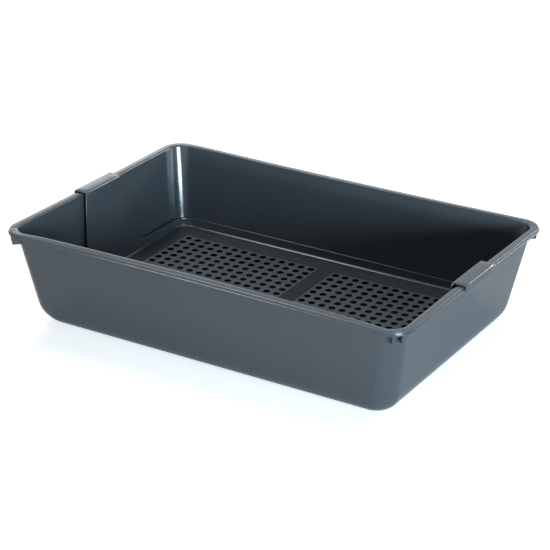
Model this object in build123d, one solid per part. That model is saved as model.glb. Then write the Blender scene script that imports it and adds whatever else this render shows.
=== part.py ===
from build123d import *
from math import atan2, cos, degrees, pi, radians, sin, sqrt, tan
import os

# Sifting litter tray: a deep open tray with a perforated sieve hanging inside it by two end straps.
# X runs along the tray, Y across it and Z up. The origin is the middle of the face it stands on.
# Lengths are in millimetres, angles in degrees.

# Outer tray
rim_length = 500.0
rim_width = 353.0
tray_height = 117.0
tray_wall = 2.2
tray_floor = 2.4
wall_draft = 10.3
body_round = 28.0

# Turned rim: a flat flange, a short skirt hanging from its edge and a bead round the skirt's foot
rim_overhang = 7.5
rim_corner_radius = 28.0
flange_thickness = 2.2
skirt_height = 4.6
skirt_thickness = 1.6
bead_height = 2.2
bead_step = 0.9
outer_edge_bevel = 1.0
inner_edge_bevel = 0.8
bevel_cutter_depth = 2.4

# Stacking ribs: a parallel pair under the flange at each corner
rib_thickness = 2.0
rib_spacing = 10.0
rib_height = 14.0
rib_setback = 4.0

# Sieve insert: a shallow basin that hangs clear of the tray
sump_depth = 16.4
sieve_floor = 2.2
sieve_wall = 1.8
lip_rise = 10.5
lip_draft = 8.0
side_gap = 1.2
end_gap = 3.0
sieve_corner_radius = 24.0
sieve_base_bevel = 5.5

# Two perforated fields, one on each side of a plain bar across the middle of the sieve
hole_diameter = 7.8
hole_sides = 4
hole_pitch = 13.2
hole_columns = 14
hole_rows = 18
field_margin = 6.6
field_corner_radius = 3.0
field_rise = 0.4
bar_width = 20.0

# End straps, which widen downwards into the lip, and the hooks that rest on the rim
hook_width = 69.0
hook_depth = 8.5
hook_edge_round = 1.4
hook_corner_radius = 3.0
strap_flare = 11.0
strap_blend = 20.0
strap_foot = 5.0
rest_gap = 0.3
hook_gap = 0.3

# Levels and sizes that follow
draft_rate = tan(radians(wall_draft))
wall_across = tray_wall / cos(radians(wall_draft))
sieve_wall_across = sieve_wall / cos(radians(lip_draft))
body_length = rim_length - 2 * rim_overhang
body_width = rim_width - 2 * rim_overhang
sieve_base = tray_floor + sump_depth
sieve_floor_top = sieve_base + sieve_floor
lip_top = sieve_floor_top + lip_rise
cavity_inset = 2 * wall_across + 2 * (tray_height - lip_top) * draft_rate
lip_length = body_length - cavity_inset - 2 * end_gap
lip_width = body_width - cavity_inset - 2 * side_gap
hook_underside = tray_height + rest_gap
hook_top = hook_underside + sieve_wall


def plate(length, width, radius, low, high):
    """Flat plate with rounded corners between two levels."""
    return Pos(0, 0, low) * extrude(RectangleRounded(length, width, radius), high - low)


def drafted_block(length, width, low, high, draft):
    """Block with four flat sides that narrows downwards from its mouth size at a draft angle."""
    shrink = (high - low) * tan(radians(draft))

    def side(half):
        return make_face(Polyline((-half, high), (half, high), (half - shrink, low), (shrink - half, low), close=True))

    along = extrude(Plane.XZ * side(length / 2), width, both=True)
    across = extrude(Plane.YZ * side(width / 2), length, both=True)
    return along & across


def tray_tub(inset, low):
    """Solid of the tray's outer form, drawn in by an inset, with every edge below the mouth rounded alike."""
    sharp = drafted_block(body_length - 2 * inset, body_width - 2 * inset, low, tray_height, wall_draft)
    mouth_edges = sharp.edges().group_by(Axis.Z)[-1]
    return fillet(sharp.edges() - mouth_edges, body_round - inset)


def sieve_block(inset, low, bevel):
    """Solid of the sieve's basin, drawn in by an inset, with its lower edge bevelled."""
    mouth = RectangleRounded(lip_length - 2 * inset, lip_width - 2 * inset, sieve_corner_radius - inset)
    block = extrude(Pos(0, 0, lip_top) * mouth, lip_top - low, dir=(0, 0, -1), taper=lip_draft)
    return chamfer(block.edges().group_by(Axis.Z)[0], bevel)


def rim_plate(inset, low, high):
    """Plate with the outline of the rim, drawn in by an inset."""
    radius = rim_corner_radius - inset
    return plate(rim_length - 2 * inset, rim_width - 2 * inset, radius, low, high)


def rim_blank():
    """Flange with its skirt and bead, still closed over the mouth of the tray."""
    skirt_bottom = tray_height - skirt_height
    flange = rim_plate(bead_step, tray_height - flange_thickness, tray_height)
    top_edges = flange.edges().group_by(Axis.Z)[-1]
    flange = chamfer(top_edges, outer_edge_bevel)
    skirt = rim_plate(bead_step, skirt_bottom, tray_height - flange_thickness)
    bead = rim_plate(0, skirt_bottom, skirt_bottom + bead_height)
    hollow = rim_plate(bead_step + skirt_thickness, skirt_bottom, tray_height - flange_thickness)
    return flange + ((skirt + bead) - hollow)


def corner_ribs():
    """The rib pair of every corner, each pair pointing out along the corner's diagonal."""
    reach = rim_corner_radius - rib_setback
    rib = Pos(0, 0, tray_height - rib_height) * Box(
        reach, rib_thickness, rib_height - flange_thickness, align=(Align.MIN, Align.CENTER, Align.MIN)
    )
    ribs = []
    for side_x in (-1, 1):
        for side_y in (-1, 1):
            centre_x = side_x * (rim_length / 2 - rim_corner_radius)
            centre_y = side_y * (rim_width / 2 - rim_corner_radius)
            turn = degrees(atan2(side_y, side_x))
            for offset in (-rib_spacing / 2, rib_spacing / 2):
                ribs.append(Pos(centre_x, centre_y, 0) * Rot(0, 0, turn) * Pos(0, offset, 0) * rib)
    return ribs


def mouth_bevel():
    """Cutter that breaks the inner edge of the mouth at 45 degrees and dies away inside the cavity."""
    length = body_length - 2 * wall_across
    width = body_width - 2 * wall_across
    radius = body_round - tray_wall
    wide = RectangleRounded(length + 2 * inner_edge_bevel, width + 2 * inner_edge_bevel, radius + inner_edge_bevel)
    return extrude(Pos(0, 0, tray_height) * wide, bevel_cutter_depth, dir=(0, 0, -1), taper=45)


def make_outer_tray():
    """Tray body with its turned rim and stacking ribs, hollowed out in one go."""
    outside = tray_tub(0, 0)
    cavity = tray_tub(wall_across, tray_floor)
    return (outside + rim_blank() + corner_ribs()) - [cavity, mouth_bevel()]


def field_size(count):
    """Length of a perforated field that holds a count of holes in a row."""
    return (count - 1) * hole_pitch + 2 * field_margin


def perforated_field():
    """One perforated field: a plate with a square grid of through holes."""
    length = field_size(hole_columns)
    width = field_size(hole_rows)
    corner_reach = hole_diameter / 2 * sqrt(2 * pi / (hole_sides * sin(2 * pi / hole_sides)))
    hole = RegularPolygon(corner_reach, hole_sides, rotation=180 / hole_sides)
    grid = GridLocations(hole_pitch, hole_pitch, hole_columns, hole_rows)
    outline = RectangleRounded(length, width, field_corner_radius)
    holes = [place * hole for place in grid]
    return extrude(outline - holes, sieve_floor + field_rise)


def basin():
    """Shallow basin of the sieve: a floor and an upright lip, with the bevel between them as thick as the wall."""
    inner_bevel = sieve_base_bevel - sieve_wall - sieve_floor + sqrt(2) * sieve_wall
    outside = sieve_block(0, sieve_base, sieve_base_bevel)
    inside = sieve_block(sieve_wall_across, sieve_floor_top, inner_bevel)
    return outside - inside


def strap_face(level):
    """Distance of the strap's inner face from the middle: in line with the lip at its foot, with the tray's wall above."""
    draft = radians(wall_draft if level > lip_top else lip_draft)
    return lip_length / 2 - sieve_wall_across + (level - lip_top) * tan(draft)


def strap_panel():
    """Upright part of the strap at the +X end, which starts inside the lip and blends into the lip's top."""
    foot = lip_top - strap_foot
    strip = Polyline(
        (strap_face(foot), foot),
        (strap_face(lip_top), lip_top),
        (strap_face(hook_top), hook_top),
        (strap_face(hook_top) + sieve_wall_across, hook_top),
        (strap_face(lip_top) + sieve_wall_across, lip_top),
        (strap_face(foot) + sieve_wall_across, foot),
        close=True,
    )
    half_top = hook_width / 2
    half_low = half_top + (hook_top - lip_top) * tan(radians(strap_flare))
    half_foot = half_low + strap_blend
    outline = Polyline(
        (-half_top, hook_top),
        (-half_low, lip_top),
        (-half_foot, lip_top),
        (-half_foot, foot),
        (half_foot, foot),
        (half_foot, lip_top),
        (half_low, lip_top),
        (half_top, hook_top),
        close=True,
    )
    face = make_face(Plane.YZ * outline)
    crooks = face.vertices().group_by(Axis.Z)[1].sort_by(Axis.Y)[1:-1]
    face = fillet(crooks, strap_blend)
    sheet = extrude(make_face(Plane.XZ * strip), half_foot, both=True)
    return sheet & extrude(face, rim_length)


def hook():
    """Hook at the +X end: a plate that lies over the rim and a flap that hangs outside it."""
    hook_outside = rim_length / 2 + hook_gap + sieve_wall
    flap_bottom = hook_top - hook_depth
    fold = Polyline(
        (strap_face(hook_top), hook_top),
        (hook_outside, hook_top),
        (hook_outside, flap_bottom),
        (hook_outside - sieve_wall, flap_bottom),
        (hook_outside - sieve_wall, hook_underside),
        (strap_face(hook_underside), hook_underside),
        close=True,
    )
    profile = make_face(Plane.XZ * fold)
    bends = profile.vertices().group_by(Axis.Z)[-1]
    strip = extrude(fillet(bends, hook_edge_round), hook_width / 2, both=True)
    flap_corners = strip.edges().filter_by(Axis.X).group_by(Axis.Z)[0]
    return fillet(flap_corners, hook_corner_radius)


def make_sieve_insert():
    """Sieve insert in one piece: basin, two perforated fields and a hooked strap at each end."""
    field_centre = bar_width / 2 + field_size(hole_columns) / 2
    opening = plate(
        field_size(hole_columns), field_size(hole_rows), field_corner_radius, sieve_base, sieve_floor_top
    )
    field = Pos(0, 0, sieve_base) * perforated_field()
    end_strap = strap_panel() + hook()
    sieve = basin() + end_strap + mirror(end_strap, about=Plane.YZ)
    places = [Pos(side * field_centre, 0, 0) for side in (-1, 1)]
    sieve = sieve - [place * opening for place in places]
    return sieve + [place * field for place in places]


os.makedirs("parts", exist_ok=True)
export_step(make_outer_tray(), "parts/outer_tray.step")
export_step(make_sieve_insert(), "parts/sieve_insert.step")
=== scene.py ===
from math import atan, cos, pi, radians, sin, sqrt, tan

import bmesh
import bpy
from mathutils import Matrix, Vector


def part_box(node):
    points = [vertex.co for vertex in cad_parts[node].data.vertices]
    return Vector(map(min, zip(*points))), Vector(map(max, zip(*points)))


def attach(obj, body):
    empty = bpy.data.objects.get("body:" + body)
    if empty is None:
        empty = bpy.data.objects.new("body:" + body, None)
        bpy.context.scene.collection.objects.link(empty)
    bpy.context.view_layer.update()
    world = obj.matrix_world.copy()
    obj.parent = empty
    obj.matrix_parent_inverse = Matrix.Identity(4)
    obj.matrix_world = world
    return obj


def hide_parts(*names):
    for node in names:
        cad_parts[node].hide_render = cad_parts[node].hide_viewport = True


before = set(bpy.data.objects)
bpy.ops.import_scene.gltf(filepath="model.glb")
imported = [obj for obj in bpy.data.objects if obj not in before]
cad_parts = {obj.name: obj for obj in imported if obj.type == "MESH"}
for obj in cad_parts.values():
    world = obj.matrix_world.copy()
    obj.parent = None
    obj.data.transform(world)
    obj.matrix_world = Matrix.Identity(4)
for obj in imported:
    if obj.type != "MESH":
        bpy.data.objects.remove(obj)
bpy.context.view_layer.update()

# Sifting litter tray, dressed for the photograph: an outer tray and a perforated sieve insert.
# Lengths are in millimetres. The meshes are scaled to metres once, when they are made.
MM = 0.001

# Sizes read from the frame
tray_low, tray_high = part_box("outer_tray")
sieve_low, sieve_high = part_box("sieve_insert")
rim_length = (tray_high.x - tray_low.x) / MM
rim_width = (tray_high.y - tray_low.y) / MM
tray_height = tray_high.z / MM
hook_length = (sieve_high.x - sieve_low.x) / MM
hook_top = sieve_high.z / MM

# Outer tray: drafted walls, with a larger round at the base than at the upright corners
rim_overhang = 7.5
tray_wall = 2.24
tray_floor = 2.4
wall_draft = radians(10.3)
base_round = 33.0
body_corner_radius = 22.0
floor_corner_radius = 6.0

# Turned rim: flange, skirt and bead
rim_corner_radius = 28.0
flange_thickness = 2.2
flange_width = 9.8
skirt_height = 4.6
skirt_thickness = 1.6
skirt_chamfer = 0.3
bead_height = 1.9
bead_step = 1.1
bead_round = 0.6
rim_edge_round = 0.8
mouth_round = 1.3

# The rounded edge of the bead as (inset from the rim, rise from the edge's level)
bead_edge = ((0.3, 0.1), (0.1, 0.3), (0.0, bead_round))

# The small round where the bead meets the skirt, as its depth and its height
bead_foot = (0.1, 0.15)

# The last ring of the inner wall stays this far below the mouth's round
mouth_clearance = 0.5

# Shape that the moulding takes as it cools: the flange falls towards the mouth, the sides bow
# inwards, and the flanges of the long sides stand higher on their inner edge
flange_fall = 0.32
fall_start = 0.7
long_rim_bow = 5.4
end_rim_bow = 2.0
flange_rise = 1.5
rise_depth = 20.0
rise_run = 40.0

# Stacking ribs, and the sink marks that they leave in the flange above them
rib_thickness = 2.0
rib_spacing = 10.0
rib_height = 15.5
rib_setback = 2.2
rib_round = 0.35
rib_sink = 1.7
rib_taper = 1.2
rib_overlap = 0.2
sink_depth = 0.22
sink_half_width = 1.5
sink_reach = (18.0, 25.5)

# Sieve insert
sheet_thickness = 1.5
sheet_round = 0.55
floor_level = 21.0
lip_top = 31.6
lip_half_length = 220.4
lip_half_width = 148.1
lip_slope = 0.168
sieve_corner_radius = 20.0
floor_round = 2.8
floor_sag = 2.3

# Perforated fields
hole_radius = 4.0
hole_round = 0.3
hole_pitch = 13.2
hole_columns = 14
hole_rows = 18
bar_width = 20.0
field_rise = 0.4
field_half_width = hole_rows * hole_pitch / 2
field_length = hole_columns * hole_pitch
field_end = bar_width / 2 + field_length

# Straps and hooks
strap_half_top = 34.4
strap_flare = radians(11.0)
strap_blend = 20.0
hook_outer_bend = 2.2
hook_depth = 8.5
hook_corner = 3.5

# Steps of the tray's mesh
tray_corner_steps = 30
tray_long_steps = 22
tray_short_steps = 14
base_steps = 14
wall_steps = 9
edge_steps = 5
flat_steps = 4
fall_steps = 6
rib_bevel_segments = 2

# Steps of the sieve's mesh
hole_facets = 16
bar_columns = 4
margin_steps = 5
lip_round_steps = 6
lip_shares = (0.35, 0.7, 1.0)
sieve_eighth_steps = 6
strap_columns = 8
strap_foot_steps = 10
strap_steps = 8
hook_bend_steps = 6
hook_top_shares = (0.5, 1.0)
hook_corner_steps = 4
sheet_edge_turns = (pi / 6, pi / 3, pi / 2)
merge_distance = 0.004

# Edges sharper than this stay sharp, in degrees
sharp_angle = 35

# What counts as the tray's floor, the top of a field or the wall of a hole when faces get their
# materials: distances in millimetres, and how far a face's normal points up
bottom_tolerance = 0.5
bottom_normal = 0.9
field_depth = 1.0
field_normal = 0.3
hole_tolerance = 0.1

# Colours of the plastic, linear
slate = (0.047, 0.053, 0.060)
field_slate = (0.055, 0.066, 0.074)
# Painted shade: the walls of the holes are much darker than the sieve's plastic
hole_painted_shade = (0.010, 0.012, 0.014)
# Painted shade: the tray's floor under the sieve is darker than the tray's plastic
bottom_painted_shade = (0.016, 0.018, 0.021)

# Surface of the plastic: noise scales are per metre, the ripple's height is in metres
refraction = 1.49
mottle_scale = 14.0
mottle_detail = 5.0
mottle_range = (0.3, 0.7)
tone_spread = 0.08
roughness_spread = 0.15
ripple_scale = 900.0
ripple_detail = 2.0
ripple_height = 0.0002

# Camera fitted to the photograph, an image of 550 by 550 pixels
image_size = 550.0
focal_pixels = 1942.35
camera_azimuth = radians(30.367)
camera_elevation = radians(23.817)
camera_roll = radians(1.017)
camera_distance = 2174.0
camera_target = Vector((0.7, -3.0, 60.0))
principal_shift = (-0.96, -0.02)
sensor_width = 36.0
clip_end = 50.0

# The floor lies a hair below the tray's base, so the two faces don't coincide
floor_drop = -0.05
floor_half = 9000.0
floor_tone = 0.82
floor_roughness = 0.9

# Brightness added to the floor: for the camera it grows from near to far, in metres from the
# middle, and for reflections it is the same everywhere
floor_fade_reach = (0.4, 1.6)
floor_fade_level = (0.58, 1.0)
floor_mirror_level = 0.03

# Brightness of the surroundings: as soft light, and as seen directly or in a reflection
world_soft_level = 0.16
world_seen_level = 1.0
world_mirror_colour = (1.03, 1.16, 1.24)


def new_object(name, vertices, faces):
    """Mesh object from points in millimetres."""
    mesh = bpy.data.meshes.new(name)
    mesh.from_pydata([Vector(v) * MM for v in vertices], [], faces)
    mesh.validate()
    return place_mesh(name, mesh)


def place_mesh(name, mesh):
    """Object in the scene for a mesh."""
    thing = bpy.data.objects.new(name, mesh)
    bpy.context.scene.collection.objects.link(thing)
    return thing


def between(first, last, t):
    """Value or point a share of the way from the first to the last."""
    if isinstance(first, tuple):
        return tuple(a + (b - a) * t for a, b in zip(first, last))
    return first + (last - first) * t


def rounded_loop(half_x, half_y, radius):
    """Points of a rounded rectangle, anticlockwise from the start of the -Y side."""
    points = []
    corners = [
        (half_x - radius, radius - half_y, -pi / 2, tray_long_steps),
        (half_x - radius, half_y - radius, 0, tray_short_steps),
        (radius - half_x, half_y - radius, pi / 2, tray_long_steps),
        (radius - half_x, radius - half_y, pi, tray_short_steps),
    ]
    previous = (radius - half_x, -half_y)
    for cx, cy, start, steps in corners:
        first = (cx + radius * cos(start), cy + radius * sin(start))
        points.extend(between(previous, first, i / steps) for i in range(steps))
        for i in range(tray_corner_steps):
            a = start + pi / 2 * i / tray_corner_steps
            points.append((cx + radius * cos(a), cy + radius * sin(a)))
        end = start + pi / 2
        previous = (cx + radius * cos(end), cy + radius * sin(end))
    return points


def bowed(point):
    """The walls bend inwards towards the middle of each side, most at the rim."""
    x, y, z = point
    height = (z / tray_height) ** 2
    pull_x = end_rim_bow / (rim_length / 2) * height * max(0.0, 1 - (2 * y / rim_width) ** 2)
    pull_y = long_rim_bow / (rim_width / 2) * height * max(0.0, 1 - (2 * x / rim_length) ** 2)
    return (x * (1 - pull_x), y * (1 - pull_y), z)


def raised(point):
    """The flange of each long side droops outwards, with its inner edge a little higher."""
    x, y, z = point
    inwards = min(1.0, (rim_width / 2 - abs(y)) / flange_width)
    near_top = max(0.0, 1 - (tray_height - z) / rise_depth)
    along = min(1.0, max(0.0, (rim_length / 2 - abs(x) - 2 * flange_width) / rise_run))
    ease = along * along * (3 - 2 * along)
    return (x, y, z + flange_rise * inwards * near_top * ease)


def sunk(point):
    """The flange sinks a little above each stacking rib."""
    x, y, z = point
    dx = abs(x) - rim_length / 2 + rim_corner_radius
    dy = abs(y) - rim_width / 2 + rim_corner_radius
    along = (dx + dy) / sqrt(2)
    off = abs(abs(dx - dy) / sqrt(2) - rib_spacing / 2)
    start, end = sink_reach
    on_flange = z >= tray_height - flange_thickness / 2
    if not on_flange or off > sink_half_width or not start < along < end:
        return point
    run = 1 - (2 * (along - start) / (end - start) - 1) ** 4
    return (x, y, z - sink_depth * run * (1 - (off / sink_half_width) ** 2))


def arc(centre, radius, start, end, steps):
    """Points (x, z) of an arc in a vertical section, both ends included."""
    turns = [start + (end - start) * i / steps for i in range(steps + 1)]
    return [(centre[0] + radius * cos(a), centre[1] + radius * sin(a)) for a in turns]


# Outer tray


def wall_section(inset, floor):
    """Section of a wall as (offset from the mouth line, level), from the floor up to the mouth."""
    radius = base_round - inset
    slope = tan(wall_draft)
    lean = pi / 2 - wall_draft
    tangent_level = floor + radius * (1 - cos(lean))
    tangent_offset = -inset / cos(wall_draft) - (tray_height - tangent_level) * slope
    centre = (tangent_offset - radius * sin(lean), floor + radius)
    section = arc(centre, radius, -pi / 2, -pi / 2 + lean, base_steps)
    for i in range(1, wall_steps + 1):
        level = between(tangent_level, tray_height, i / wall_steps)
        section.append((-inset / cos(wall_draft) - (tray_height - level) * slope, level))
    return section


def wall_rings(section, inset):
    """Rings for a section of a wall. Their corners tighten where it curves in to the floor."""
    half_x = rim_length / 2 - rim_overhang
    half_y = rim_width / 2 - rim_overhang
    rings = []
    for offset, level in section:
        wall = -inset / cos(wall_draft) - (tray_height - level) * tan(wall_draft)
        share = min(1.0, max(0.0, (wall - offset) / base_round))
        radius = (body_corner_radius - inset) * (1 - share) + floor_corner_radius * share
        rings.append((half_x + offset, half_y + offset, radius, level))
    return rings


def rim_ring(inset, level):
    """Ring with the outline of the rim, drawn in by an inset."""
    return (rim_length / 2 - inset, rim_width / 2 - inset, rim_corner_radius - inset, level)


def rim_rings():
    """Rings of the rim, from the flange's underside round the skirt and bead to its top edge."""
    inner_face = bead_step + skirt_thickness
    bottom = tray_height - skirt_height
    bead_top = bottom + bead_height
    path = [
        (inner_face, tray_height - flange_thickness),
        (inner_face, bottom + skirt_chamfer),
        (inner_face - skirt_chamfer, bottom),
        (bead_round, bottom),
    ]
    path += [(inset, bottom + rise) for inset, rise in bead_edge]
    path += [(inset, bead_top - rise) for inset, rise in reversed(bead_edge)]
    path += [(bead_step - bead_foot[0], bead_top), (bead_step, bead_top + bead_foot[1])]
    for x, z in arc((0, 0), rim_edge_round, 0, pi / 2, edge_steps):
        path.append((bead_step + rim_edge_round - x, tray_height - rim_edge_round + z))
    return [rim_ring(inset, level) for inset, level in path]


def tray_rings():
    """Every ring of the tray as (half length, half width, corner radius, level).

    They run from under the floor up the outside, over the rim and down the inside.
    """
    flange_bottom = tray_height - flange_thickness
    outside = [p for p in wall_section(0, 0) if p[1] < flange_bottom]
    outside.append((-flange_thickness * tan(wall_draft), flange_bottom))
    inner_top = tray_height - flange_fall
    round_foot = inner_top - mouth_round - mouth_clearance
    inside = [p for p in wall_section(tray_wall, tray_floor) if p[1] < round_foot]
    mouth = -tray_wall / cos(wall_draft)
    for i in range(edge_steps + 1):
        a = pi / 2 * i / edge_steps
        offset = mouth + mouth_round * (1 - cos(a))
        inside.append((offset, inner_top - mouth_round * (1 - sin(a))))
    up = wall_rings(outside, 0.0) + rim_rings()
    down = wall_rings(inside, tray_wall)[::-1]

    # Rings across the flange's top: level at first, then falling towards the mouth
    across = [(fall_start * i / flat_steps, 0.0) for i in range(1, flat_steps)]
    for i in range(fall_steps):
        fall = i / fall_steps
        across.append((between(fall_start, 1, fall), flange_fall * fall ** 2))
    top = [(*between(up[-1][:3], down[0][:3], t), tray_height - drop) for t, drop in across]
    return up + top + down


def make_tray():
    """Tray body and rim as one closed skin of rings, with the stacking ribs under its corners."""
    vertices, faces = [], []
    rings = tray_rings()
    for half_x, half_y, radius, level in rings:
        for x, y in rounded_loop(half_x, half_y, radius):
            vertices.append(bowed(raised(sunk((x, y, level)))))
    count = 4 * tray_corner_steps + 2 * tray_long_steps + 2 * tray_short_steps
    for r in range(len(rings) - 1):
        low, high = r * count, (r + 1) * count
        for i in range(count):
            j = (i + 1) % count
            faces.append((low + i, low + j, high + j, high + i))
    faces.append(tuple(reversed(range(count))))
    last = (len(rings) - 1) * count
    faces.append(tuple(last + i for i in range(count)))
    tray = new_object("tray_body", vertices, faces)
    signs = (-1, 1)
    return join(tray, [make_rib(sx, sy, side) for sx in signs for sy in signs for side in signs])


def make_rib(side_x, side_y, side):
    """One stacking rib, standing out from the wall along the corner's diagonal."""
    reach = rim_corner_radius - rib_setback
    corner_shift = rim_overhang + body_corner_radius - rim_corner_radius
    foot_radius = body_corner_radius - sqrt(2) * corner_shift
    centre_x = rim_length / 2 - rim_corner_radius
    centre_y = rim_width / 2 - rim_corner_radius
    centre = Vector((side_x * centre_x, side_y * centre_y, 0))
    out = Vector((side_x, side_y, 0)).normalized()
    across = Vector((-out.y, out.x, 0)) * side
    bm = bmesh.new()
    bmesh.ops.create_cube(bm, size=1)
    for v in bm.verts:
        drop = flange_thickness - rib_overlap if v.co.z > 0 else rib_height
        foot = foot_radius - rib_sink - sqrt(2) * drop * tan(wall_draft)
        along = foot if v.co.x < 0 else reach - (0 if v.co.z > 0 else rib_taper)
        sideways = rib_spacing / 2 + v.co.y * rib_thickness
        up = Vector((0, 0, tray_height - drop))
        v.co = (centre + out * along + across * sideways + up) * MM
    bmesh.ops.recalc_face_normals(bm, faces=bm.faces)
    bmesh.ops.bevel(
        bm, geom=list(bm.edges), offset=rib_round * MM, segments=rib_bevel_segments,
        profile=0.5, affect="EDGES",
    )
    mesh = bpy.data.meshes.new("rib")
    bm.to_mesh(mesh)
    bm.free()
    return place_mesh("rib", mesh)


def join(target, others):
    """Puts the meshes of other objects into the target's mesh."""
    bm = bmesh.new()
    bm.from_mesh(target.data)
    for other in others:
        bm.from_mesh(other.data)
        bpy.data.objects.remove(other)
    bm.to_mesh(target.data)
    bm.free()
    return target


# Sieve insert: one curved sheet, thickened at the end


class Sheet:
    """Points and faces of the sieve's upper skin."""

    def __init__(self):
        self.vertices = []
        self.faces = []

    def row(self, points):
        """Adds points and gives their numbers."""
        start = len(self.vertices)
        self.vertices.extend(points)
        return list(range(start, start + len(points)))

    def strip(self, first, second, closed=False):
        """Quads between two rows of equal length."""
        count = len(first)
        for i in range(count if closed else count - 1):
            j = (i + 1) % count
            self.faces.append((first[i], first[j], second[j], second[i]))


def sagged(x, y, z):
    """The floor of the sieve hangs a little lower in the middle."""
    along = max(0.0, 1 - (x / lip_half_length) ** 2)
    across = max(0.0, 1 - (y / lip_half_width) ** 2)
    return (x, y, z - floor_sag * along * across)


def add_hole_cell(sheet, cx, cy):
    """One square cell of a perforated field with its round hole."""
    level = floor_level + field_rise
    half = hole_pitch / 2
    radius = hole_radius + hole_round
    square, rim = [], []
    for i in range(hole_facets):
        a = 2 * pi * i / hole_facets
        reach = half / max(abs(cos(a)), abs(sin(a)))
        square.append(sagged(cx + reach * cos(a), cy + reach * sin(a), level))
        rim.append(sagged(cx + radius * cos(a), cy + radius * sin(a), level))
    sheet.strip(sheet.row(square), sheet.row(rim), closed=True)


def add_grid(sheet, xs, ys, level):
    """Flat stretch of floor over a grid of lines."""
    rows = [sheet.row([sagged(x, y, level) for x in xs]) for y in ys]
    for low, high in zip(rows, rows[1:]):
        sheet.strip(low, high)


def cell_lines(start, count):
    """Grid lines along a field, with the points that the hole cells have on their sides."""
    half = hole_pitch / 2
    side = hole_facets // 8
    turns = [2 * pi * i / hole_facets for i in range(-side, side + 1)]
    steps = sorted({round(half * tan(a), 6) for a in turns})
    lines = []
    for cell in range(count):
        middle = start + half + cell * hole_pitch
        lines.extend(middle + s for s in steps[:-1])
    lines.append(start + count * hole_pitch)
    return lines


def widened(lines):
    """Grid lines whose outer two lie at the foot of the step round a field."""
    return [lines[0] - field_rise] + lines[1:-1] + [lines[-1] + field_rise]


def perimeter(xs, ys):
    """Points round the outside of a grid of lines, anticlockwise from its (-X, -Y) corner."""
    points = [(x, ys[0]) for x in xs[:-1]] + [(xs[-1], y) for y in ys[:-1]]
    return points + [(x, ys[-1]) for x in reversed(xs[1:])] + [(xs[0], y) for y in reversed(ys[1:])]


def bar_lines():
    """Grid lines across the plain bar between the fields."""
    bar_half = bar_width / 2 - field_rise
    return [bar_half * i / bar_columns for i in range(-bar_columns, bar_columns + 1)]


def add_floor(sheet):
    """Perforated fields, the step round each, and the plain bar between them."""
    ys = cell_lines(-field_half_width, hole_rows)
    for side in (-1, 1):
        centre = side * (bar_width / 2 + field_length / 2)
        for column in range(hole_columns):
            for row in range(hole_rows):
                cx = centre + (column - (hole_columns - 1) / 2) * hole_pitch
                cy = (row - (hole_rows - 1) / 2) * hole_pitch
                add_hole_cell(sheet, cx, cy)
        xs = cell_lines(centre - field_length / 2, hole_columns)
        top = perimeter(xs, ys)
        foot = perimeter(widened(xs), widened(ys))
        upper = sheet.row([sagged(x, y, floor_level + field_rise) for x, y in top])
        lower = sheet.row([sagged(x, y, floor_level) for x, y in foot])
        sheet.strip(lower, upper, closed=True)
    add_grid(sheet, bar_lines(), widened(ys), floor_level)


def edge_loop():
    """Outline of both fields and the bar, with its count of steps along X and along Y."""
    left = widened(cell_lines(-field_end, hole_columns))
    right = widened(cell_lines(bar_width / 2, hole_columns))
    xs = left + bar_lines()[1:-1] + right
    ys = widened(cell_lines(-field_half_width, hole_rows))
    return perimeter(xs, ys), len(xs) - 1, len(ys) - 1


def wall_loop(inset, x_count, y_count, blend_half):
    """Rounded outline with as many points as the fields' outline, and where the +X strap starts.

    The straight part under each strap has the strap's own columns.
    """
    half_x = lip_half_length - inset
    half_y = lip_half_width - inset
    radius = sieve_corner_radius - inset
    straight_x = x_count - 2 * sieve_eighth_steps
    straight_y = y_count - 2 * sieve_eighth_steps
    beside = (straight_y - strap_columns) // 2
    cx, cy = half_x - radius, half_y - radius

    def eighth(side_x, side_y, start):
        """Half of a corner's round."""
        turns = [start + pi / 4 * i / sieve_eighth_steps for i in range(sieve_eighth_steps)]
        return [(side_x * cx + radius * cos(a), side_y * cy + radius * sin(a)) for a in turns]

    x_lines = [between(-cx, cx, i / straight_x) for i in range(straight_x)]
    y_lines = [between(-cy, -blend_half, i / beside) for i in range(beside)]
    y_lines += [between(-blend_half, blend_half, i / strap_columns) for i in range(strap_columns)]
    y_lines += [between(blend_half, cy, i / beside) for i in range(beside)]
    points = eighth(-1, -1, -3 * pi / 4)
    points += [(x, -half_y) for x in x_lines]
    points += eighth(1, -1, -pi / 2) + eighth(1, -1, -pi / 4)
    points += [(half_x, y) for y in y_lines]
    points += eighth(1, 1, 0) + eighth(1, 1, pi / 4)
    points += [(-x, half_y) for x in x_lines]
    points += eighth(-1, 1, pi / 2) + eighth(-1, 1, 3 * pi / 4)
    points += [(-half_x, -y) for y in y_lines]
    points += eighth(-1, -1, -pi)
    return points, x_count + sieve_eighth_steps + beside


def wall_offset(level):
    """How far the lip's inner face lies inside its top line at a level."""
    return (lip_top - level) * lip_slope


def lip_section():
    """Section of the lip as (offset from its top line, level) up from the edge of the floor."""
    lean = atan(lip_slope)
    tangent_level = floor_level + floor_round * (1 - sin(lean))
    centre = (-wall_offset(tangent_level) - floor_round * cos(lean), floor_level + floor_round)
    section = arc(centre, floor_round, -pi / 2, -lean, lip_round_steps)
    for share in lip_shares:
        level = between(tangent_level, lip_top - sheet_round, share)
        section.append((-wall_offset(level), level))
    return section


def strap_half(level):
    """Half the strap's width at a level, short of its rounded edge."""
    return strap_half_top - sheet_round + (hook_top - level) * tan(strap_flare)


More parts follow.
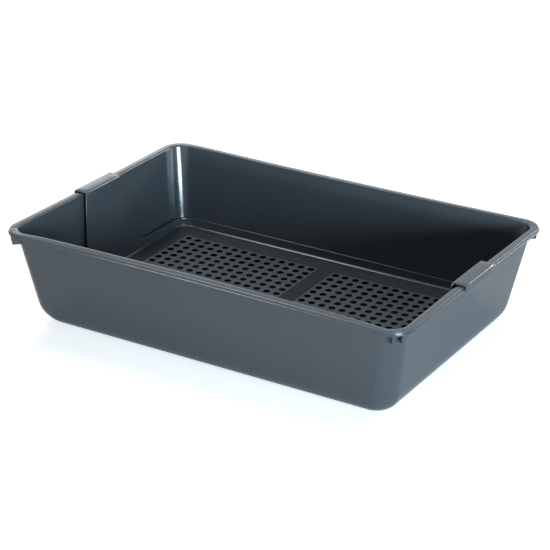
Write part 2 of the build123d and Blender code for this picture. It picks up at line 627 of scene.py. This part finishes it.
def strap_profile():
    """Path of a strap's face as (x, z, half width), and half the width of its foot.

    It runs from the top of the lip up the wall, over the rim and down the flap.
    """
    profile = []

    # Foot: a round blend from the lip's top into the strap's side
    centre_z = lip_top + strap_blend
    line_at_centre = strap_half_top + (hook_top - centre_z) * tan(strap_flare)
    centre_y = line_at_centre + strap_blend / cos(strap_flare)
    radius = strap_blend + sheet_round
    for i in range(1, strap_foot_steps + 1):
        b = (pi / 2 - strap_flare) * i / strap_foot_steps
        level = centre_z - radius * cos(b)
        half = centre_y - radius * sin(b)
        profile.append((lip_half_length - wall_offset(level), level, half))

    # Upright part
    lean = atan(lip_slope)
    bend = hook_outer_bend
    start_level = profile[-1][1]
    bend_level = hook_top - bend * (1 - sin(lean))
    for i in range(1, strap_steps + 1):
        level = between(start_level, bend_level, i / strap_steps)
        profile.append((lip_half_length - wall_offset(level), level, strap_half(level)))

    # Over the rim
    half = strap_half(hook_top)
    bend_z = hook_top - bend
    inner_x = profile[-1][0] + bend * cos(lean)
    outer_x = hook_length / 2 - bend
    for x, z in arc((inner_x, bend_z), bend, pi - lean, pi / 2, hook_bend_steps)[1:]:
        profile.append((x, z, half))
    for share in hook_top_shares:
        profile.append((between(inner_x, outer_x, share), hook_top, half))
    for x, z in arc((outer_x, bend_z), bend, pi / 2, 0, hook_bend_steps)[1:]:
        profile.append((x, z, half))

    # Flap with rounded lower corners
    end = hook_top - hook_depth + sheet_round
    corner = hook_corner - sheet_round
    for i in range(hook_corner_steps + 1):
        a = pi / 2 * i / hook_corner_steps
        level = end + corner * (1 - sin(a))
        profile.append((hook_length / 2, level, half - corner * (1 - cos(a))))
    return profile, centre_y


def add_wall_and_straps(sheet):
    """Margin of the floor, lip and both straps with their hooks."""
    loop, x_count, y_count = edge_loop()
    profile, blend_half = strap_profile()
    section = lip_section()
    first, first_foot = wall_loop(-section[0][0], x_count, y_count, blend_half)
    rows = [sheet.row([sagged(x, y, floor_level) for x, y in loop])]
    for i in range(1, margin_steps):
        margin = [between(a, b, i / margin_steps) for a, b in zip(loop, first)]
        rows.append(sheet.row([sagged(x, y, floor_level) for x, y in margin]))
    for offset, level in section:
        outline = wall_loop(-offset, x_count, y_count, blend_half)[0]
        rows.append(sheet.row([bowed((x, y, level)) for x, y in outline]))
    for low, high in zip(rows, rows[1:]):
        sheet.strip(high, low, closed=True)
    count = len(loop)
    columns = range(strap_columns + 1)
    for side in (1, -1):
        start = first_foot if side == 1 else first_foot + count // 2
        previous = [rows[-1][(start + i) % count] for i in columns]
        for x, z, half in profile:
            ys = [(-1 + 2 * i / strap_columns) * half * side for i in columns]
            current = sheet.row([bowed((x * side, y, z)) for y in ys])
            sheet.strip(current, previous)
            previous = current


def outward_at_edges(free):
    """Direction out of the sheet at each vertex of its free edges."""
    outward = {}
    for e in free:
        face = e.link_faces[0]
        a, b = e.verts
        side = (b.co - a.co).cross(face.normal)
        if side.dot(face.calc_center_median() - a.co) > 0:
            side = -side
        for v in e.verts:
            outward[v] = outward.get(v, Vector()) + side.normalized()
    return outward


def thicken(sheet, name, thickness, edge_round):
    """Closed solid from a sheet: the same skin again a thickness below, with rounded free edges."""
    bm = bmesh.new()
    verts = [bm.verts.new(Vector(v)) for v in sheet.vertices]
    for face in sheet.faces:
        bm.faces.new([verts[i] for i in face])
    bmesh.ops.remove_doubles(bm, verts=bm.verts, dist=merge_distance)
    bm.normal_update()
    top_faces = list(bm.faces)
    under = {v: bm.verts.new(v.co - v.normal * thickness) for v in list(bm.verts)}
    free = [e for e in bm.edges if len(e.link_faces) == 1]
    rounding = {}
    for v, side in outward_at_edges(free).items():
        side = (side - v.normal * side.dot(v.normal)).normalized()
        upper, lower = [], []
        for a in sheet_edge_turns:
            rim = v.co + side * edge_round * sin(a)
            depth = edge_round * (1 - cos(a))
            upper.append(rim - v.normal * depth)
            lower.append(rim - v.normal * (thickness - depth))
        chain = [bm.verts.new(point) for point in upper + lower[::-1]]
        rounding[v] = [v] + chain + [under[v]]
    for face in top_faces:
        bm.faces.new([under[v] for v in reversed(face.verts)])
    for e in free:
        loop = e.link_loops[0]
        chain_a, chain_b = rounding[loop.vert], rounding[loop.link_loop_next.vert]
        for i in range(len(chain_a) - 1):
            bm.faces.new((chain_b[i], chain_a[i], chain_a[i + 1], chain_b[i + 1]))
    for v in bm.verts:
        v.co *= MM
    mesh = bpy.data.meshes.new(name)
    bm.normal_update()
    bm.to_mesh(mesh)
    bm.free()
    return place_mesh(name, mesh)


def make_sieve():
    """Sieve insert in one piece."""
    sheet = Sheet()
    add_floor(sheet)
    add_wall_and_straps(sheet)
    return thicken(sheet, "sieve", sheet_thickness, sheet_round)


def shade(thing):
    """Smooth shading that keeps the sharp edges."""
    for polygon in thing.data.polygons:
        polygon.use_smooth = True
    thing.data.set_sharp_from_angle(angle=radians(sharp_angle))


# Materials


def plastic(name, colour, roughness, grain, specular=0.5):
    """Moulded plastic with a faint mottle in its tone and roughness and a very fine ripple."""
    material = bpy.data.materials.new(name)
    material.use_nodes = True
    nodes, links = material.node_tree.nodes, material.node_tree.links
    shader = nodes["Principled BSDF"]
    shader.inputs["IOR"].default_value = refraction
    shader.inputs["Specular IOR Level"].default_value = specular
    place = nodes.new("ShaderNodeTexCoord")
    mottle = nodes.new("ShaderNodeTexNoise")
    mottle.inputs["Scale"].default_value = mottle_scale
    mottle.inputs["Detail"].default_value = mottle_detail
    links.new(place.outputs["Object"], mottle.inputs["Vector"])
    tone = nodes.new("ShaderNodeMix")
    tone.data_type = "RGBA"
    tone.inputs["A"].default_value = (*[c * (1 - tone_spread) for c in colour], 1)
    tone.inputs["B"].default_value = (*[c * (1 + tone_spread) for c in colour], 1)
    links.new(mottle.outputs["Fac"], tone.inputs["Factor"])
    links.new(tone.outputs["Result"], shader.inputs["Base Color"])
    rough = nodes.new("ShaderNodeMapRange")
    rough.inputs["From Min"].default_value = mottle_range[0]
    rough.inputs["From Max"].default_value = mottle_range[1]
    rough.inputs["To Min"].default_value = roughness * (1 - roughness_spread)
    rough.inputs["To Max"].default_value = roughness * (1 + roughness_spread)
    links.new(mottle.outputs["Fac"], rough.inputs["Value"])
    links.new(rough.outputs["Result"], shader.inputs["Roughness"])
    ripple = nodes.new("ShaderNodeTexNoise")
    ripple.inputs["Scale"].default_value = ripple_scale
    ripple.inputs["Detail"].default_value = ripple_detail
    links.new(place.outputs["Object"], ripple.inputs["Vector"])
    bump = nodes.new("ShaderNodeBump")
    bump.inputs["Strength"].default_value = grain
    bump.inputs["Distance"].default_value = ripple_height
    links.new(ripple.outputs["Fac"], bump.inputs["Height"])
    links.new(bump.outputs["Normal"], shader.inputs["Normal"])
    return material


def mark_bottom(tray):
    """Gives the tray's floor the tray's second material, matte and darkened as painted shade under
    the sieve.
    """
    for polygon in tray.data.polygons:
        on_floor = abs(polygon.center.z / MM - tray_floor) < bottom_tolerance
        if on_floor and polygon.normal.z > bottom_normal:
            polygon.material_index = 1


def mark_fields(sieve):
    """Gives the fields' tops the sieve's second material and the walls of the holes its third,
    darkened as painted shade.
    """
    for polygon in sieve.data.polygons:
        centre = polygon.center / MM
        in_length = bar_width / 2 < abs(centre.x) < field_end
        in_width = abs(centre.y) < field_half_width
        if not (in_length and in_width and centre.z < floor_level + field_depth):
            continue
        off_x = (abs(centre.x) - bar_width / 2) % hole_pitch - hole_pitch / 2
        off_y = (centre.y + field_half_width) % hole_pitch - hole_pitch / 2
        # The walls of the holes take the darker material as painted shade
        if off_x ** 2 + off_y ** 2 < (hole_radius + hole_tolerance) ** 2:
            polygon.material_index = 2
        elif polygon.normal.z > field_normal:
            polygon.material_index = 1


# Pieces

tray = make_tray()
shade(tray)
tray.data.materials.append(plastic("tray_plastic", slate, roughness=0.16, grain=0.02))
# Second material: painted shade for the tray's floor under the sieve, darker, matte and less shiny
tray.data.materials.append(
    plastic("tray_bottom_painted_shade", bottom_painted_shade, roughness=0.6, grain=0.1, specular=0.1)
)
mark_bottom(tray)
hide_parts("outer_tray")
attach(tray, "tray")

sieve = make_sieve()
shade(sieve)
sieve.data.materials.append(plastic("sieve_plastic", slate, roughness=0.16, grain=0.02))
sieve.data.materials.append(plastic("sieve_field", field_slate, roughness=0.5, grain=0.15))
# Third material: painted shade for the walls of the holes, darker and less shiny than the plastic
sieve.data.materials.append(
    plastic("hole_wall_painted_shade", hole_painted_shade, roughness=0.6, grain=0.1, specular=0.08)
)
mark_fields(sieve)
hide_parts("sieve_insert")
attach(sieve, "sieve")


# Stage, light and camera


def make_floor():
    """Wide pale floor. The camera sees it as white except where the object shades it."""
    half = floor_half
    corners = ((-half, -half), (half, -half), (half, half), (-half, half))
    floor = new_object("floor", [(x, y, floor_drop) for x, y in corners], [(0, 1, 2, 3)])
    material = bpy.data.materials.new("floor")
    material.use_nodes = True
    nodes, links = material.node_tree.nodes, material.node_tree.links
    shader = nodes["Principled BSDF"]
    shader.inputs["Base Color"].default_value = (floor_tone, floor_tone, floor_tone, 1)
    shader.inputs["Roughness"].default_value = floor_roughness
    shader.inputs["Specular IOR Level"].default_value = 0.0
    ray = nodes.new("ShaderNodeLightPath")
    lift = nodes.new("ShaderNodeMath")
    lift.operation = "MULTIPLY_ADD"
    place = nodes.new("ShaderNodeTexCoord")
    reach = nodes.new("ShaderNodeVectorMath")
    reach.operation = "LENGTH"
    links.new(place.outputs["Object"], reach.inputs[0])
    fade = nodes.new("ShaderNodeMapRange")
    fade.inputs["From Min"].default_value = floor_fade_reach[0]
    fade.inputs["From Max"].default_value = floor_fade_reach[1]
    fade.inputs["To Min"].default_value = floor_fade_level[0]
    fade.inputs["To Max"].default_value = floor_fade_level[1]
    links.new(reach.outputs["Value"], fade.inputs["Value"])
    links.new(fade.outputs["Result"], lift.inputs[1])
    links.new(ray.outputs["Is Camera Ray"], lift.inputs[0])
    gloss = nodes.new("ShaderNodeMath")
    gloss.operation = "MULTIPLY"
    gloss.inputs[1].default_value = floor_mirror_level
    links.new(ray.outputs["Is Glossy Ray"], gloss.inputs[0])
    links.new(gloss.outputs["Value"], lift.inputs[2])
    shader.inputs["Emission Color"].default_value = (1, 1, 1, 1)
    links.new(lift.outputs["Value"], shader.inputs["Emission Strength"])
    floor.data.materials.append(material)


def make_world():
    """Soft studio surroundings, white to the camera and a cool white in reflections."""
    world = bpy.data.worlds.new("studio")
    bpy.context.scene.world = world
    world.use_nodes = True
    nodes, links = world.node_tree.nodes, world.node_tree.links
    back = nodes["Background"]
    ray = nodes.new("ShaderNodeLightPath")
    seen = nodes.new("ShaderNodeMath")
    seen.operation = "MAXIMUM"
    links.new(ray.outputs["Is Camera Ray"], seen.inputs[0])
    links.new(ray.outputs["Is Glossy Ray"], seen.inputs[1])
    level = nodes.new("ShaderNodeMapRange")
    level.inputs["To Min"].default_value = world_soft_level
    level.inputs["To Max"].default_value = world_seen_level
    links.new(seen.outputs["Value"], level.inputs["Value"])
    tint = nodes.new("ShaderNodeMix")
    tint.data_type = "RGBA"
    tint.inputs["A"].default_value = (1, 1, 1, 1)
    tint.inputs["B"].default_value = (*world_mirror_colour, 1)
    links.new(ray.outputs["Is Glossy Ray"], tint.inputs["Factor"])
    links.new(tint.outputs["Result"], back.inputs["Color"])
    links.new(level.outputs["Result"], back.inputs["Strength"])


def add_light(name, position, aim, size, power, colour=(1, 1, 1)):
    """Rectangular softbox, placed and aimed in millimetres."""
    data = bpy.data.lights.new(name, "AREA")
    data.shape = "RECTANGLE"
    data.size = size[0] * MM
    data.size_y = size[1] * MM
    data.energy = power
    data.color = colour
    light = bpy.data.objects.new(name, data)
    bpy.context.scene.collection.objects.link(light)
    light.location = Vector(position) * MM
    direction = Vector(aim) - Vector(position)
    light.rotation_euler = direction.to_track_quat("-Z", "Y").to_euler()
    return light


def make_camera():
    """Camera at the photograph's angle, distance and framing."""
    a, e = camera_azimuth, camera_elevation
    back = Vector((sin(a) * cos(e), -cos(a) * cos(e), sin(e)))
    level_right = Vector((cos(a), sin(a), 0))
    level_up = back.cross(level_right)
    right = level_right * cos(camera_roll) + level_up * sin(camera_roll)
    up = level_up * cos(camera_roll) - level_right * sin(camera_roll)
    data = bpy.data.cameras.new("camera")
    data.sensor_width = sensor_width
    data.lens = focal_pixels / image_size * sensor_width
    data.shift_x = -principal_shift[0] / image_size
    data.shift_y = principal_shift[1] / image_size
    data.clip_end = clip_end
    camera = bpy.data.objects.new("camera", data)
    bpy.context.scene.collection.objects.link(camera)
    position = (camera_target + back * camera_distance) * MM
    turn = Matrix((right, up, back)).transposed().to_4x4()
    camera.matrix_world = Matrix.Translation(position) @ turn
    bpy.context.scene.camera = camera


make_floor()
make_world()

# Softboxes: name, position, aim, size, power in watts and colour. The low one at the right is the
# key light. The strip in front lights the front wall but leaves no mirror image of itself.
add_light("top", (-870, 300, 1750), (0, 0, 0), (900, 300), 13.5)
add_light("back", (-1320, 1500, 715), (-200, 0, 100), (750, 330), 1.2)
front = add_light("front", (-300, -1900, 192), (-100, 0, 117), (1500, 70), 16)
front.visible_glossy = False
add_light("right", (1500, -900, 360), (0, 0, 60), (800, 340), 47, (0.62, 0.85, 1.0))
add_light("rear", (900, 1700, 600), (0, 0, 60), (520, 420), 14)
make_camera()

scene = bpy.context.scene
scene.view_settings.view_transform = "Standard"
